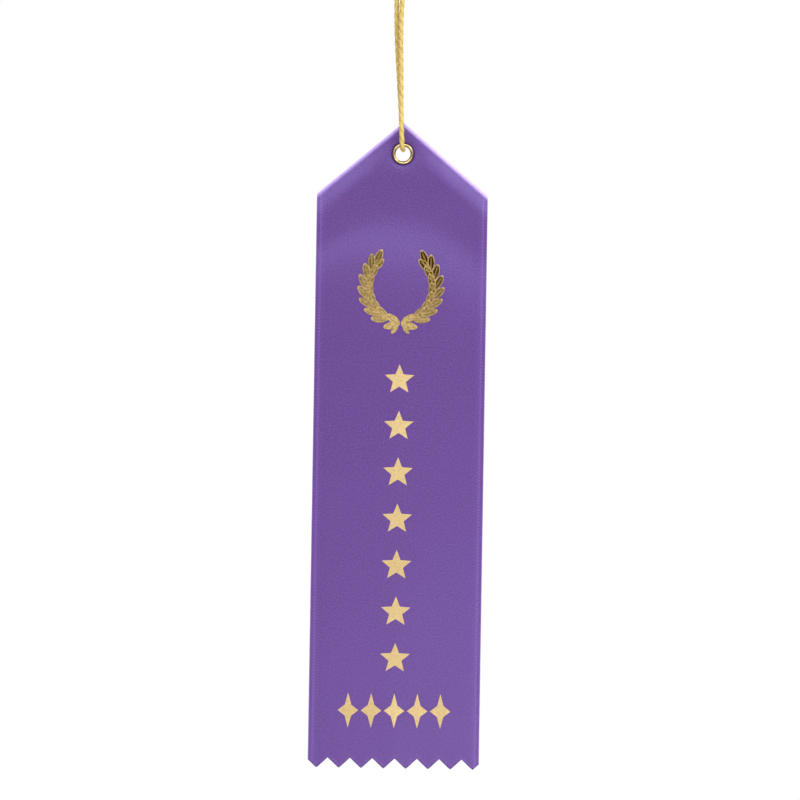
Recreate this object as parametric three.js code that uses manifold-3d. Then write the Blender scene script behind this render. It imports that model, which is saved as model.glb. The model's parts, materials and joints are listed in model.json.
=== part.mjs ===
// Award ribbon: a satin strip with a folded, eyeleted peak, a backing card and a hanging cord.
// Millimetres, +Z up, the printed face looks along -Y. The origin is the inside top of the cord
// loop, under the knot, where the ribbon hangs on a hook or pin.

import * as THREE from "three";
import { mergeVertices } from "three/addons/utils/BufferGeometryUtils.js";
import Module from "manifold-3d";

// ---- Driving dimensions ------------------------------------------------------------------

// Satin strip
const RIBBON_WIDTH = 50.8;
const RIBBON_LENGTH = 192;
const PEAK_SLOPE = THREE.MathUtils.degToRad(40.3);
const SATIN_THICKNESS = 0.3;

// Pinked lower edge
const PINK_PITCH = 6.62;
const PINK_DEPTH = 3.1;
const PINK_FIRST_TIP = 2.6;

// Backing card
const CARD_THICKNESS = 0.35;
const CARD_SIDE_INSET = 1;
const CARD_PEAK_INSET = 0.9;
const CARD_LENGTH = 89;

// Clear space between touching layers
const LAYER_GAP = 0.3;

// Eyelet
const EYELET_DEPTH = 9.4;
const EYELET_BORE = 2.2;
const EYELET_BARREL = 2.45;
const EYELET_FLANGE = 3.1;
const EYELET_DOME = 0.5;
const EYELET_LIFT = 0.08;
const EYELET_HOLE = 2.6;

// Hanging cord
const CORD_DIAMETER = 1.5;
const CORD_SEAT_GAP = 0.25;
const CORD_SIDES = 8;
const CORD_JOINT_GAP = 0.3;
const STRAND_STEPS = 26;
const BIGHT_STEPS = 22;
const TAIL_STEPS = 4;
const LOOP_DROP = 80;
const KNOT_BOTTOM = 1.5;
const KNOT_HEIGHT = 7;
const KNOT_RADIUS = 3.1;

// Foil print
const FOIL_THICKNESS = 0.15;
const FOIL_LIFT = 0.05;
const WREATH_DEPTH = 50.4;
const FIRST_STAR_DEPTH = 76.6;
const STAR_PITCH = 13.8;
const STAR_COUNT = 7;
const STAR_RADIUS = 4.6;
const STAR_WAIST = 0.44;
const LOZENGE_DEPTH = 174.9;
const LOZENGE_HEIGHT = 10.3;
const LOZENGE_WIDTH = 6.1;
const LOZENGE_PITCH = 6.85;
const LOZENGE_COUNT = 5;
const LOZENGE_WAIST = 0.44;

// Hinge lines of the hanging cloth and card, measured down from the peak
const TAIL_HINGE_DEPTH = 67.5;
const TAIL_HINGE_GAP = 0.4;
const CARD_HINGE_DEPTH = 26.8;
const CARD_HINGE_GAP = 1;

// ---- Worked-out places -------------------------------------------------------------------

const HALF_WIDTH = RIBBON_WIDTH / 2;
const PEAK_HEIGHT = HALF_WIDTH * Math.tan(PEAK_SLOPE);
const STACK = 2 * SATIN_THICKNESS + CARD_THICKNESS + 2 * LAYER_GAP;
const FOLD_RADIUS = STACK / 2;
const SATIN_FRONT = -FOLD_RADIUS;
const FLAP_FRONT = FOLD_RADIUS - SATIN_THICKNESS;
const CARD_FRONT = -CARD_THICKNESS / 2;
const FOIL_FRONT = SATIN_FRONT - FOIL_LIFT - FOIL_THICKNESS;

const PIVOT_Z = -LOOP_DROP;
const EYELET_Z = PIVOT_Z - (EYELET_BORE - CORD_DIAMETER / 2 - CORD_SEAT_GAP);
const APEX_Z = EYELET_Z + EYELET_DEPTH;

// ---- Solids ------------------------------------------------------------------------------

const wasm = await Module();
wasm.setup();

/** Closed three.js geometry as a solid that can be joined and cut. */
function toSolid(geometry) {
  const bare = geometry.clone();
  bare.deleteAttribute("normal");
  bare.deleteAttribute("uv");
  const merged = mergeVertices(bare);
  return new wasm.Manifold(new wasm.Mesh({
    numProp: 3,
    vertProperties: new Float32Array(merged.attributes.position.array),
    triVerts: new Uint32Array(merged.index.array),
  }));
}

/** A joined or cut solid as three.js geometry again. */
function toGeometry(solid) {
  const mesh = solid.getMesh();
  const geometry = new THREE.BufferGeometry();
  geometry.setAttribute("position", new THREE.BufferAttribute(mesh.vertProperties, 3));
  geometry.setIndex(new THREE.BufferAttribute(mesh.triVerts, 1));
  geometry.computeVertexNormals();
  return geometry;
}

/** Sum of a list of solids. */
function joined(solids) {
  return solids.reduce((sum, solid) => sum.add(solid));
}

/** Upright sheet: an outline in x and z, from y = front to y = front + thickness. */
function plate(outline, front, thickness) {
  const shape = new THREE.Shape(outline);
  const geometry = new THREE.ExtrudeGeometry(shape, { depth: thickness, bevelEnabled: false });
  geometry.rotateX(Math.PI / 2);
  geometry.translate(0, front + thickness, 0);
  return geometry;
}

/** Outline points turned and moved in the plane of the ribbon. */
function placed(points, x, z, angle = 0) {
  return points.map((p) => p.clone().rotateAround(new THREE.Vector2(), angle)
    .add(new THREE.Vector2(x, z)));
}

function point(x, z) {
  return new THREE.Vector2(x, z);
}

// ---- Satin strip and card ----------------------------------------------------------------

/** House-shaped outline: a peak over straight sides, down to a level lower edge. */
function peakedOutline(halfWidth, apexZ, bottomZ) {
  const shoulderZ = apexZ - halfWidth * Math.tan(PEAK_SLOPE);
  return [
    point(0, apexZ),
    point(-halfWidth, shoulderZ),
    point(-halfWidth, bottomZ),
    point(halfWidth, bottomZ),
    point(halfWidth, shoulderZ),
  ];
}

/** Drop of the apex when both peak edges move in by a distance square to them. */
function apexDrop(inset) {
  return inset / Math.cos(PEAK_SLOPE);
}

/** Hole through every layer for the eyelet. */
function eyeletHole() {
  const drill = new THREE.CylinderGeometry(EYELET_HOLE, EYELET_HOLE, 4 * STACK, 32);
  drill.translate(0, 0, EYELET_Z);
  return toSolid(drill);
}

/** Corner of the strip folded to the back, flat part only; side is 1 for right, -1 for left. */
function flap(side) {
  const apex = point(0, APEX_Z);
  const shoulder = point(side * HALF_WIDTH, APEX_Z - PEAK_HEIGHT);
  const corner = point(
    side * HALF_WIDTH * Math.cos(2 * PEAK_SLOPE),
    APEX_Z - HALF_WIDTH * Math.sin(2 * PEAK_SLOPE),
  );
  const tuck = FOLD_RADIUS / (HALF_WIDTH * Math.sin(PEAK_SLOPE));
  const outline = [apex.lerp(corner, tuck), shoulder.lerp(corner, tuck), corner];
  return toSolid(plate(outline, FLAP_FRONT, SATIN_THICKNESS));
}

/** Rounded fold along one peak edge, joining the front panel to its flap. */
function fold(side) {
  const tuck = 0.01;
  const arm = 0.3;
  const overrun = 3;
  const outer = FOLD_RADIUS - tuck;
  const inner = FOLD_RADIUS - SATIN_THICKNESS + tuck;
  const section = new THREE.Shape();
  section.moveTo(FOLD_RADIUS + arm, -outer);
  section.lineTo(FOLD_RADIUS, -outer);
  section.absarc(FOLD_RADIUS, 0, outer, -Math.PI / 2, Math.PI / 2, true);
  section.lineTo(FOLD_RADIUS + arm, outer);
  section.lineTo(FOLD_RADIUS + arm, inner);
  section.absarc(FOLD_RADIUS, 0, inner, Math.PI / 2, -Math.PI / 2, false);
  section.lineTo(FOLD_RADIUS + arm, -inner);

  const length = HALF_WIDTH / Math.cos(PEAK_SLOPE) + 2 * overrun;
  const bend = new THREE.ExtrudeGeometry(section, {
    depth: length,
    bevelEnabled: false,
    curveSegments: 8,
  });
  const inward = new THREE.Vector3(-Math.sin(PEAK_SLOPE), 0, -Math.cos(PEAK_SLOPE));
  const along = new THREE.Vector3(Math.cos(PEAK_SLOPE), 0, -Math.sin(PEAK_SLOPE));
  const upright = new THREE.Matrix4().makeBasis(inward, new THREE.Vector3(0, 1, 0), along);
  bend.applyMatrix4(upright);
  bend.translate(-overrun * along.x, 0, APEX_Z - overrun * along.z);

  const overlap = 0.02;
  const keep = new THREE.BoxGeometry(HALF_WIDTH + overlap, 4 * STACK, 4 * PEAK_HEIGHT);
  keep.translate((HALF_WIDTH - overlap) / 2, 0, APEX_Z - PEAK_HEIGHT);
  const right = toSolid(bend).intersect(toSolid(keep));
  return side > 0 ? right : right.mirror([1, 0, 0]);
}

/** Upper half of the strip: front panel, both folds and both flaps, with the eyelet's hole. */
function ribbonHead() {
  const bottom = APEX_Z - TAIL_HINGE_DEPTH + TAIL_HINGE_GAP / 2;
  const panel = peakedOutline(HALF_WIDTH, APEX_Z - apexDrop(FOLD_RADIUS), bottom);
  const front = toSolid(plate(panel, SATIN_FRONT, SATIN_THICKNESS));
  const cloth = joined([front, flap(1), flap(-1), fold(1), fold(-1)]);
  return toGeometry(cloth.subtract(eyeletHole()));
}

/** Lower half of the strip, down to its pinked edge. */
function ribbonTail() {
  const top = APEX_Z - TAIL_HINGE_DEPTH - TAIL_HINGE_GAP / 2;
  const tips = APEX_Z - RIBBON_LENGTH;
  const zigzag = (x) => {
    const phase = (x + HALF_WIDTH - PINK_FIRST_TIP) / PINK_PITCH;
    const away = Math.abs(phase - Math.round(phase));
    return tips + 2 * away * PINK_DEPTH;
  };
  const outline = [point(HALF_WIDTH, top), point(-HALF_WIDTH, top)];
  outline.push(point(-HALF_WIDTH, zigzag(-HALF_WIDTH)));
  for (let x = PINK_FIRST_TIP - HALF_WIDTH; x < HALF_WIDTH; x += PINK_PITCH / 2) {
    outline.push(point(x, zigzag(x)));
  }
  outline.push(point(HALF_WIDTH, zigzag(HALF_WIDTH)));
  return plate(outline, SATIN_FRONT, SATIN_THICKNESS);
}

/** Part of the card held under the flaps. */
function cardHead() {
  const bottom = APEX_Z - CARD_HINGE_DEPTH + CARD_HINGE_GAP / 2;
  const outline = peakedOutline(
    HALF_WIDTH - CARD_SIDE_INSET,
    APEX_Z - apexDrop(CARD_PEAK_INSET),
    bottom,
  );
  const card = toSolid(plate(outline, CARD_FRONT, CARD_THICKNESS));
  return toGeometry(card.subtract(eyeletHole()));
}

/** Part of the card that hangs free behind the satin. */
function cardLeaf() {
  const half = HALF_WIDTH - CARD_SIDE_INSET;
  const top = APEX_Z - CARD_HINGE_DEPTH - CARD_HINGE_GAP / 2;
  const bottom = APEX_Z - CARD_LENGTH;
  const outline = [point(-half, top), point(-half, bottom), point(half, bottom), point(half, top)];
  return plate(outline, CARD_FRONT, CARD_THICKNESS);
}

// ---- Eyelet ------------------------------------------------------------------------------

/** One-piece eyelet: a barrel with a domed flange on each face. */
function eyelet() {
  const seat = FOLD_RADIUS + EYELET_LIFT;
  const mid = (EYELET_FLANGE + EYELET_BORE) / 2;
  const halfRing = (EYELET_FLANGE - EYELET_BORE) / 2;
  const domeSteps = 8;
  const profile = [];
  const addDome = (side) => {
    for (let i = 0; i <= domeSteps; i += 1) {
      const turn = Math.PI * (side > 0 ? i : domeSteps - i) / domeSteps;
      const radius = mid + halfRing * Math.cos(turn);
      profile.push(new THREE.Vector2(radius, side * (seat + EYELET_DOME * Math.sin(turn))));
    }
  };
  profile.push(new THREE.Vector2(EYELET_BARREL, -seat));
  profile.push(new THREE.Vector2(EYELET_BARREL, seat));
  addDome(1);
  addDome(-1);
  profile.push(new THREE.Vector2(EYELET_BARREL, -seat));
  const ring = new THREE.LatheGeometry(profile, 32);
  ring.translate(0, 0, EYELET_Z);
  return ring;
}

// ---- Hanging cord ------------------------------------------------------------------------

// Centre line of the cord from the knot down the front, through the eyelet and up the back.
const CORD_ROUTE = new THREE.CatmullRomCurve3([
  [0.85, 0, 1.2],
  [2.0, 0, -0.6],
  [2.35, -0.05, -2.2],
  [2.25, -0.1, -5],
  [1.8, -0.2, -10],
  [1.15, -0.35, -16],
  [0.4, -0.5, -22.5],
  [-0.35, -0.6, -29],
  [-0.95, -0.66, -35.5],
  [-1.2, -0.68, -42],
  [-1.15, -0.7, -49],
  [-1.0, -0.78, -56],
  [-0.87, -0.95, -62],
  [-0.8, -1.3, -67.2],
  [-0.68, -1.9, -71.6],
  [-0.55, -2.35, -74.6],
  [-0.42, -2.5, -77],
  [-0.3, -2.4, -78.6],
  [-0.2, -1.8, -79.6],
  [-0.1, -0.8, -79.97],
  [0, 0, -80],
  [0, 0.8, -79.97],
  [-0.1, 1.8, -79.6],
  [-0.2, 2.4, -78.6],
  [-0.3, 2.5, -77],
  [-0.45, 2.35, -74.6],
  [-0.65, 1.9, -71.6],
  [-0.92, 1.3, -67.2],
  [-1.3, 0.95, -62],
  [-1.72, 0.76, -56],
  [-2.2, 0.68, -49],
  [-2.5, 0.65, -42],
  [-2.6, 0.62, -35.5],
  [-2.55, 0.57, -29],
  [-2.45, 0.5, -22.5],
  [-2.35, 0.35, -16],
  [-2.3, 0.2, -10],
  [-2.35, 0.1, -5],
  [-2.35, 0.05, -2.2],
  [-2.0, 0, -0.6],
  [-0.85, 0, 1.2],
].map((p) => new THREE.Vector3(...p)));

// Centre lines of the two cord ends above the knot.
const TAIL_ROUTES = {
  cord_tail_left: [[-0.85, 0, 8.8], [-1.5, 0.2, 12], [-2.6, 0.5, 15.4], [-3.9, 0.7, 18.6]],
  cord_tail_right: [[0.85, 0, 8.8], [1.3, -0.3, 11.8], [2.4, -0.5, 14.8], [3.1, -0.4, 17.8]],
};

/** Length of the route between its two ends, by fraction, as a curve of its own. */
class RouteSpan extends THREE.Curve {
  constructor(route, from, to) {
    super();
    this.route = route;
    this.from = from;
    this.to = to;
  }

  getPoint(t, target = new THREE.Vector3()) {
    return this.route.getPointAt(this.from + (this.to - this.from) * t, target);
  }
}

/** Round cord along a curve. */
function cordTube(curve, steps) {
  const section = new THREE.Shape();
  for (let i = 0; i < CORD_SIDES; i += 1) {
    const turn = 2 * Math.PI * (i + 0.5) / CORD_SIDES;
    const x = Math.cos(turn) * CORD_DIAMETER / 2;
    const y = Math.sin(turn) * CORD_DIAMETER / 2;
    if (i === 0) section.moveTo(x, y);
    else section.lineTo(x, y);
  }
  return new THREE.ExtrudeGeometry(section, { steps, extrudePath: curve, bevelEnabled: false });
}

/** The cord's three stretches: front strand, bight in the eyelet, and back strand. */
function cordStretches() {
  const bightHalf = 7;
  const length = CORD_ROUTE.getLength();
  const gap = CORD_JOINT_GAP / length;
  const start = 0.5 - bightHalf / length;
  const end = 0.5 + bightHalf / length;
  return {
    cord_front_strand: cordTube(new RouteSpan(CORD_ROUTE, 0, start - gap), STRAND_STEPS),
    cord_bight: cordTube(new RouteSpan(CORD_ROUTE, start, end), BIGHT_STEPS),
    cord_back_strand: cordTube(new RouteSpan(CORD_ROUTE, end + gap, 1), STRAND_STEPS),
  };
}

/** Outer shape of the overhand knot that ties both ends of the cord. */
function knot() {
  const rings = 8;
  const profile = [];
  for (let i = 0; i <= rings; i += 1) {
    const turn = Math.PI * i / rings - Math.PI / 2;
    profile.push(new THREE.Vector2(
      i === 0 || i === rings ? 0 : KNOT_RADIUS * Math.cos(turn),
      KNOT_HEIGHT / 2 * Math.sin(turn),
    ));
  }
  const shape = new THREE.LatheGeometry(profile, 14);
  shape.rotateX(Math.PI / 2);
  shape.translate(0, 0, KNOT_BOTTOM + KNOT_HEIGHT / 2);
  return shape;
}

// ---- Foil print --------------------------------------------------------------------------

/** Foil piece with an outline in x and z, on the front of the satin. */
function foil(outline) {
  return plate(outline, FOIL_FRONT, FOIL_THICKNESS);
}

/** Star outline: points alternate between the full radius and a waist. */
function starOutline(pointCount, width, height, waist) {
  const outline = [];
  for (let i = 0; i < 2 * pointCount; i += 1) {
    const turn = Math.PI / 2 + Math.PI * i / pointCount;
    const reach = i % 2 === 0 ? 1 : waist;
    outline.push(point(width * reach * Math.cos(turn), height * reach * Math.sin(turn)));
  }
  return outline;
}

// Laurel branch, in the wreath's own x and z; angles are in degrees
const WREATH = {
  stem: [[0.35, -9.6], [8.6, -7.6], [12.6, 0.6], [7.8, 7.8]],
  stemWidth: 0.6,
  leafPairs: 8,
  leafLength: 5.1,
  leafWidth: 2.3,
  outerSplay: 26,
  innerSplay: 20,
  stubFoot: [0.75, -9.8],
  stubLength: 3.3,
  stubWidth: 1.5,
  stubHeading: -56,
};

/** Blunt leaf with its base at the origin, pointing along +x. */
function leafOutline(length, width) {
  const half = 6;
  const outline = [];
  for (let i = 0; i < 2 * half; i += 1) {
    const along = i <= half ? i / half : 2 - i / half;
    const bulge = Math.max(Math.sin(Math.PI * along), 0) ** 0.7 * width / 2;
    outline.push(point(along * length, i <= half ? -bulge : bulge));
  }
  return outline;
}

/** Middle line of the branch, from where the branches cross up to the tip leaf. */
const STEM = new THREE.CubicBezierCurve(...WREATH.stem.map((p) => point(...p)));

/** Curved stem as a thin band. */
function stemOutline() {
  const steps = 14;
  const edge = (side) => Array.from({ length: steps + 1 }, (_, i) => {
    const ahead = STEM.getTangentAt(i / steps);
    const across = point(-ahead.y, ahead.x).multiplyScalar(side * WREATH.stemWidth / 2);
    return STEM.getPointAt(i / steps).add(across);
  });
  return [...edge(-1), ...edge(1).reverse()];
}

/** Short cut end of the stem, below where the two branches meet. */
function stubOutline() {
  const { stubLength, stubWidth } = WREATH;
  return [
    point(-stubWidth / 3, 0),
    point(0, -stubWidth / 3),
    point(stubLength, -stubWidth / 2),
    point(stubLength, stubWidth / 2),
    point(0, stubWidth / 3),
  ];
}

/** Laurel branch: 1 for the right-hand one, -1 for its mirror. */
function wreathBranch(side) {
  const { leafPairs, leafLength, leafWidth, stubFoot, stubHeading } = WREATH;
  const { degToRad } = THREE.MathUtils;
  const leaf = leafOutline(leafLength, leafWidth);
  const heading = (share) => STEM.getTangentAt(share).angle();
  const tip = STEM.getPointAt(1);
  const outlines = [
    stemOutline(),
    placed(stubOutline(), ...stubFoot, degToRad(stubHeading)),
    placed(leaf, tip.x, tip.y, heading(1) - degToRad(10)),
  ];
  for (let i = 0; i < leafPairs; i += 1) {
    const share = (i + 0.3) / leafPairs;
    const at = STEM.getPointAt(share);
    outlines.push(placed(leaf, at.x, at.y, heading(share) - degToRad(WREATH.outerSplay)));
    outlines.push(placed(leaf, at.x, at.y, heading(share) + degToRad(WREATH.innerSplay)));
  }
  const wreathZ = APEX_Z - WREATH_DEPTH;
  const branch = joined(outlines.map((outline) => toSolid(foil(placed(outline, 0, wreathZ)))));
  return toGeometry(side > 0 ? branch : branch.mirror([1, 0, 0]));
}

// ---- Finishes ----------------------------------------------------------------------------

const FINISHES = {
  satin: { color: 0x7654a0, roughness: 0.5, metalness: 0 },
  card: { color: 0xf2efe6, roughness: 0.85, metalness: 0 },
  brass: { color: 0xe3c878, roughness: 0.25, metalness: 1 },
  cord: { color: 0xe0b75a, roughness: 0.6, metalness: 0.1 },
  foil: { color: 0xe6cf86, roughness: 0.4, metalness: 0.9 },
};

function addPiece(parent, name, geometry, finish) {
  const mesh = new THREE.Mesh(geometry, new THREE.MeshStandardMaterial(FINISHES[finish]));
  mesh.name = name;
  parent.add(mesh);
  return mesh;
}

// ---- Assembly ----------------------------------------------------------------------------

/** Cord loop, knot and ends: what stays still on the hook. */
function hanger() {
  const group = new THREE.Group();
  for (const [name, tube] of Object.entries(cordStretches())) addPiece(group, name, tube, "cord");
  addPiece(group, "cord_knot", knot(), "cord");
  for (const [name, places] of Object.entries(TAIL_ROUTES)) {
    const route = new THREE.CatmullRomCurve3(places.map((p) => new THREE.Vector3(...p)));
    addPiece(group, name, cordTube(route, TAIL_STEPS), "cord");
  }
  return group;
}

/** Folded peak with the eyelet, the card's held part and the wreath. */
function head() {
  const group = new THREE.Group();
  addPiece(group, "ribbon_head", ribbonHead(), "satin");
  addPiece(group, "card_head", cardHead(), "card");
  addPiece(group, "eyelet", eyelet(), "brass");
  addPiece(group, "wreath_left", wreathBranch(-1), "foil");
  addPiece(group, "wreath_right", wreathBranch(1), "foil");
  return group;
}

/** Hanging length of satin with its column of stars and row of lozenges. */
function tail() {
  const group = new THREE.Group();
  addPiece(group, "ribbon_tail", ribbonTail(), "satin");
  const star = starOutline(5, STAR_RADIUS, STAR_RADIUS, STAR_WAIST);
  for (let i = 0; i < STAR_COUNT; i += 1) {
    const z = APEX_Z - FIRST_STAR_DEPTH - i * STAR_PITCH;
    addPiece(group, `star_${i + 1}`, foil(placed(star, 0, z)), "foil");
  }
  const lozenge = starOutline(4, LOZENGE_WIDTH / 2, LOZENGE_HEIGHT / 2, LOZENGE_WAIST);
  for (let i = 0; i < LOZENGE_COUNT; i += 1) {
    const x = (i - (LOZENGE_COUNT - 1) / 2) * LOZENGE_PITCH;
    const outline = placed(lozenge, x, APEX_Z - LOZENGE_DEPTH);
    addPiece(group, `lozenge_${i + 1}`, foil(outline), "foil");
  }
  return group;
}

const ribbon = new THREE.Group();
ribbon.add(hanger());
ribbon.add(head());
ribbon.add(tail());
addPiece(ribbon, "card_leaf", cardLeaf(), "card");

export default ribbon;
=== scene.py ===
"""Looks of the award ribbon: folded satin strip, backing card, eyelet, twisted cord and foil print."""

import json
import math

import bmesh
import bpy
import numpy as np
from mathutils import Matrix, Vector


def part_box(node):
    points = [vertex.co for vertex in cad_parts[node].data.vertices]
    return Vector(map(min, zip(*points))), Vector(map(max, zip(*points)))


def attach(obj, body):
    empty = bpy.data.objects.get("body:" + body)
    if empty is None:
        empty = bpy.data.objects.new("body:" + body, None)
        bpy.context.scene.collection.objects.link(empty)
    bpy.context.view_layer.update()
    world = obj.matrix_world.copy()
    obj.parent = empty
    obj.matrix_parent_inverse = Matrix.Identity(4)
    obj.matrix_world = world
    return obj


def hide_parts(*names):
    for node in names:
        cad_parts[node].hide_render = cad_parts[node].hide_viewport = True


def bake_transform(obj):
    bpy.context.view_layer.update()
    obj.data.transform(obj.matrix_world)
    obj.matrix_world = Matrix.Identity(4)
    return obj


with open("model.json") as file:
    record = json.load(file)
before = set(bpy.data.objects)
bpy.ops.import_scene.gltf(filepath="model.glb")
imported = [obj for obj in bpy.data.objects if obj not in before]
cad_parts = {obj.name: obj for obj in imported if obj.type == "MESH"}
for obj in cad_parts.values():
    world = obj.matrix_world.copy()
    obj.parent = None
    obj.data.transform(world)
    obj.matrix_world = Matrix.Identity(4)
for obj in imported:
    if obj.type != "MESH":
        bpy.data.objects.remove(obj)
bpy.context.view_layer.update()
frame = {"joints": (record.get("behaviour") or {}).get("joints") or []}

# Shapes are worked out in millimetres and made in metres.
MM = 0.001


# ---- Places read from the frame ----


def box_mm(node):
    """Lowest and highest corner of a CAD node, in millimetres."""
    low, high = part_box(node)
    return np.array(low) / MM, np.array(high) / MM


def joint_point(name):
    """Where a joint turns, in metres."""
    return next(j["pos_m"] for j in frame["joints"] if j["name"] == name)


HEAD_LOW, HEAD_HIGH = box_mm("ribbon_head")
CARD_LOW, CARD_HIGH = box_mm("card_leaf")
EYELET_LOW, EYELET_HIGH = box_mm("eyelet")

HALF_WIDTH = HEAD_HIGH[0]
STACK = HEAD_HIGH[1] - HEAD_LOW[1]
APEX_Z = HEAD_HIGH[2]
TIPS_Z = box_mm("ribbon_tail")[0][2]
CARD_TOP = box_mm("card_head")[1][2]
EYELET_Z = (EYELET_LOW[2] + EYELET_HIGH[2]) / 2
EYELET_RADIUS = EYELET_HIGH[0]
CARD_HINGE = joint_point("card_lift")

# ---- Dimensions in millimetres ----

# The cloth is thinner here than in CAD; each of its layers keeps its middle where CAD has it.
CAD_SATIN = 0.3
SATIN = 0.25
LAYER_MID = (STACK - CAD_SATIN) / 2
FRONT_Y = -LAYER_MID - SATIN / 2
FLAP_REST = 0.36
PEAK_SLOPE = math.radians(40.3)

# How the front panel leaves its flat place: it leans back along the peak's edges (ROLL) and turns in
# at their rim (EDGE), is pressed in round the eyelet (DIMPLE) and below it (HOLLOW), and comes forward
# along an arched line (ARCH) and in a bow down to its teeth (BOW). Its sides CURL back, and it has a
# faint RIPPLE. Slopes are millimetres per millimetre, and a SPAN is measured down from the peak.
ROLL_FLAT = 2.3
ROLL_END = 6.3
ROLL_SLOPE = 0.15
ROLL_FADE = (1, 14)
EDGE_WIDTH = 1.0
EDGE_ROLL = 0.22
DIMPLE_DEPTH = 0.1
DIMPLE_WIDTH = 1.5
HOLLOW_DEPTH = 0.14
HOLLOW_SPAN = (12, 27)
ARCH_DEPTH = 26.0
ARCH_SPREAD = 5.2
ARCH_NARROWING = 0.1
ARCH_CURVE = 0.018
ARCH_LEAN = 0.05
ARCH_SLOPE = 0.051
BOW_FROM = 72
BOW_LENGTH = 120
BOW_SLOPE = 0.024
CURL_DEPTH = 0.05
CURL_FROM = 21
CURL_SPAN = (40, 70)
RIPPLE_DEPTH = 0.03
RIPPLE_LENGTH = 8.0
RIPPLE_SKEW = 0.06
RIPPLE_SPAN = (60, 90)

PINK_PITCH = 6.62
PINK_DEPTH = 3.1
PINK_FIRST_TIP = 2.6
TOOTH_COSINE = 0.73

CARD_THICKNESS = 0.3
CARD_TRIM = 0.6

EYELET_BORE = 2.2
EYELET_BARREL = 2.45
EYELET_FLARE = 0.16
HOLE = 2.68

CORD_DIAMETER = 1.5
PLY_TURN = 5.4


# ---- Camera ----

CAMERA_ROLL = math.radians(0.93)
CAMERA_DISTANCE = 1.5
CAMERA_AIM = (0.00027, -0.1544)
CAMERA_LENS = 227


def make_camera():
    """Level view square to the printed face, turned slightly about its own axis."""
    data = bpy.data.cameras.new("camera")
    data.lens = CAMERA_LENS
    camera = bpy.data.objects.new("camera", data)
    bpy.context.scene.collection.objects.link(camera)
    camera.location = (CAMERA_AIM[0], -CAMERA_DISTANCE, CAMERA_AIM[1])
    camera.rotation_euler = (math.pi / 2, -CAMERA_ROLL, 0)
    bpy.context.scene.camera = camera


# ---- Materials ----


def srgb(red, green, blue):
    """Colour given as 0 to 255 display values, as linear light with full alpha."""
    def linear(value):
        part = value / 255
        return part / 12.92 if part <= 0.04045 else ((part + 0.055) / 1.055) ** 2.4
    return (linear(red), linear(green), linear(blue), 1)


class Nodes:
    """Short ways to add nodes to a node tree."""

    def __init__(self, tree):
        self.tree = tree

    def feed(self, socket, value):
        if isinstance(value, bpy.types.NodeSocket):
            self.tree.links.new(value, socket)
        else:
            socket.default_value = value

    def node(self, kind, *values, sockets=None, **settings):
        """Node with values for its first sockets in turn, and for others by name."""
        made = self.tree.nodes.new("ShaderNode" + kind)
        for key, value in settings.items():
            setattr(made, key, value)
        for socket, value in zip(made.inputs, values):
            self.feed(socket, value)
        for name, value in (sockets or {}).items():
            self.feed(made.inputs[name], value)
        return made


class Finish(Nodes):
    """A principled material and short ways to build its look."""

    def __init__(self, name, **constants):
        self.material = bpy.data.materials.new(name)
        self.material.use_nodes = True
        super().__init__(self.material.node_tree)
        self.shader = self.tree.nodes["Principled BSDF"]
        for socket, value in constants.items():
            self.wire(socket.replace("_", " "), value)
        self.painted = None
        self.relief = None

    def wire(self, socket, value):
        self.feed(self.shader.inputs[socket], value)

    def math(self, operation, first, second=0.0):
        return self.node("Math", first, second, operation=operation).outputs[0]

    def times(self, value, factor):
        return self.math("MULTIPLY", value, factor)

    def flat(self):
        """Flat place on the cloth or cord in millimetres, and its parts across and along."""
        place = self.node("UVMap", uv_map="flat").outputs[0]
        split = self.node("SeparateXYZ", place)
        return place, split.outputs[0], split.outputs[1]

    def attribute(self, name):
        return self.node("Attribute", attribute_name=name).outputs["Fac"]

    def stretched(self, vector, scale, turn=(0, 0, 0)):
        return self.node("Mapping", vector, (0, 0, 0), turn, scale).outputs[0]

    def noise(self, vector, scale, detail=2.0, roughness=0.5):
        sockets = {"Vector": vector, "Scale": scale, "Detail": detail, "Roughness": roughness}
        return self.node("TexNoise", sockets=sockets).outputs["Fac"]

    def ramp(self, value, low, high, from_low=0.0, from_high=1.0, interpolation="LINEAR"):
        """Value carried from one range to another and clamped to it."""
        return self.node("MapRange", value, from_low, from_high, low, high,
                         interpolation_type=interpolation).outputs["Result"]

    def band(self, value, centre, half_width):
        """1 at the centre, falling smoothly to 0 at the half width."""
        away = self.math("ABSOLUTE", self.math("SUBTRACT", value, centre))
        return self.ramp(away, 1, 0, 0, half_width, "SMOOTHSTEP")

    def mix(self, share, first, second, kind="RGBA"):
        """Mix of two colours, or of two values where the kind is FLOAT."""
        made = self.node("Mix", share, data_type=kind)
        own = [socket for socket in made.inputs if socket.enabled][1:]
        self.feed(own[0], first)
        self.feed(own[1], second)
        return next(socket for socket in made.outputs if socket.enabled)

    def paint(self, colour):
        self.painted = colour
        self.wire("Base Color", colour)

    def tint(self, where, strength, colour):
        """Paints over at a mask, as strongly as that where the mask is 1."""
        self.paint(self.mix(self.times(where, strength), self.painted, colour))

    def cloud(self, value, low, high, strength, colour):
        """Paints over, from not at all at the low value to that strongly at the high one."""
        self.paint(self.mix(self.ramp(value, 0.0, strength, low, high), self.painted, colour))

    def bump(self, height, distance, strength):
        """Adds relief of that height, in metres, to what is there."""
        sockets = {"Strength": strength, "Distance": distance, "Height": height}
        if self.relief:
            sockets["Normal"] = self.relief
        self.relief = self.node("Bump", sockets=sockets).outputs[0]
        self.wire("Normal", self.relief)


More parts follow.
